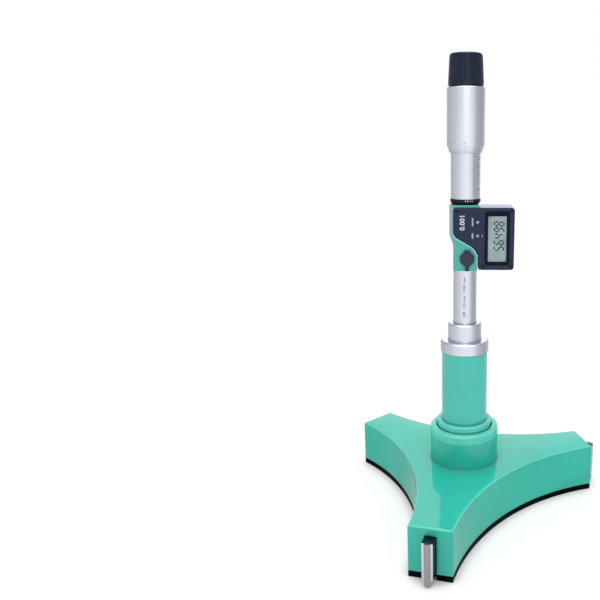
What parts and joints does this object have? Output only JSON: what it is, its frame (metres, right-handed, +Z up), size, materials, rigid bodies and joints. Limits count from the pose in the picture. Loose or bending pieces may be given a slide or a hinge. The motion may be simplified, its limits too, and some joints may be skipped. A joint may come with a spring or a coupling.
{
  "type": "inside micrometer",
  "caption": "Electronic three-point inside micrometer: star head with sliding carbide-tipped jaws, tube handle, side display and ratchet thimble that drives a cone to measure large bores.",
  "frame": {"origin": "on the handle axis, on the underside of the sole plate", "axes": "+Z up along the handle, -Y out of the display, +X towards the free side of the display case"},
  "size_m": [0.1859, 0.1831, 0.3212],
  "materials": {
    "green_paint": "gloss enamel",
    "black_plate": "satin",
    "satin_chrome": "satin",
    "tool_steel": "machined",
    "spring_steel": "drawn wire",
    "bronze": "machined",
    "navy_plastic": "fine texture",
    "case_silver": "satin",
    "black_oxide": "blackened",
    "knob_plastic": "fine texture",
    "index_black": "satin",
    "ground_steel": "ground",
    "carbide": "lapped",
    "clear_pane": "clear",
    "lcd_grey": "matte",
    "board_green": "solder mask",
    "cell_steel": "nickel plated",
    "button_blue": "satin",
    "plug_rubber": "matte"
  },
  "bodies": {
    "frame": {"head_body": "green_paint", "base_plate": "black_plate", "base_screws": "tool_steel", "spring_posts": "tool_steel", "lock_ring": "green_paint", "extension_tube": "green_paint", "lower_bush": "bronze", "return_spring": "spring_steel", "tube_flange": "satin_chrome", "stem_collar": "satin_chrome", "stem": "satin_chrome", "upper_bush": "bronze", "display_housing": "green_paint", "display_case": "case_silver", "front_panel": "navy_plastic", "panel_screws": "black_oxide", "lcd_window": "clear_pane", "lcd_module": "lcd_grey", "circuit_board": "board_green", "battery": "cell_steel", "battery_cap": "navy_plastic", "encoder_stator": "board_green", "index_ring": "index_black", "sleeve": "satin_chrome", "spindle_nut": "bronze", "adjusting_nut": "tool_steel", "jaw_spring_1": "spring_steel", "jaw_spring_2": "spring_steel", "jaw_spring_3": "spring_steel"},
    "plunger": {"push_rod": "tool_steel", "cone": "tool_steel", "spring_collar": "tool_steel", "thrust_ball": "tool_steel"},
    "thimble": {"thimble": "satin_chrome", "spindle": "tool_steel", "ratchet_wheel": "tool_steel", "wheel_nut": "tool_steel", "knob_screw": "tool_steel"},
    "ratchet": {"ratchet_knob": "knob_plastic", "ratchet_pawl": "tool_steel", "pawl_spring": "spring_steel"},
    "anvil_1": {"jaw_1": "ground_steel", "carbide_1": "carbide"},
    "anvil_2": {"jaw_2": "ground_steel", "carbide_2": "carbide"},
    "anvil_3": {"jaw_3": "ground_steel", "carbide_3": "carbide"},
    "encoder": {"encoder_rotor": "bronze"},
    "on_off": {"on_off_button": "button_blue"},
    "zero": {"zero_button": "button_blue"},
    "plug": {"port_plug": "plug_rubber"}
  },
  "joints": [
    {"name": "thimble_turn", "type": "hinge", "parent": "plunger", "child": "thimble", "pos_m": [0, 0, 0.28], "axis": [0, 0, -1], "range_deg": [-11521, 6481]},
    {"name": "rod_slide", "type": "slide", "parent": "frame", "child": "plunger", "axis": [0, 0, -1], "range_m": [-0.016, 0.009], "deforming": ["return_spring"]},
    {"name": "ratchet_slip", "type": "hinge", "parent": "thimble", "child": "ratchet", "pos_m": [0, 0, 0.312], "axis": [0, 0, -1], "continuous": true},
    {"name": "encoder_turn", "type": "hinge", "parent": "frame", "child": "encoder", "pos_m": [0, 0, 0.21], "axis": [0, 0, -1], "range_deg": [-11521, 6481]},
    {"name": "anvil_slide_1", "type": "slide", "parent": "frame", "child": "anvil_1", "axis": [-0.2164, -0.9763, 0], "range_m": [-0.00801, 0.00451], "deforming": ["jaw_spring_1"]},
    {"name": "anvil_slide_2", "type": "slide", "parent": "frame", "child": "anvil_2", "axis": [0.9537, 0.3007, 0], "range_m": [-0.00801, 0.00451], "deforming": ["jaw_spring_2"]},
    {"name": "anvil_slide_3", "type": "slide", "parent": "frame", "child": "anvil_3", "axis": [-0.7373, 0.6756, 0], "range_m": [-0.00801, 0.00451], "deforming": ["jaw_spring_3"]},
    {"name": "on_off_press", "type": "slide", "parent": "frame", "child": "on_off", "axis": [0, 1, 0], "range_m": [0, 0.0005], "stiffness_N_per_m": 400},
    {"name": "zero_press", "type": "slide", "parent": "frame", "child": "zero", "axis": [0, 1, 0], "range_m": [0, 0.0005], "stiffness_N_per_m": 400},
    {"name": "plug_pull", "type": "slide", "parent": "frame", "child": "plug", "axis": [0, -1, 0], "range_m": [0, 0.012]}
  ],
  "couplings": [
    {"joint": "thimble_turn", "follows": "rod_slide", "rad_per_m": 12566},
    {"joint": "encoder_turn", "follows": "rod_slide", "rad_per_m": 12566},
    {"joint": "anvil_slide_1", "follows": "rod_slide", "ratio": 0.5},
    {"joint": "anvil_slide_2", "follows": "rod_slide", "ratio": 0.5},
    {"joint": "anvil_slide_3", "follows": "rod_slide", "ratio": 0.5}
  ]
}
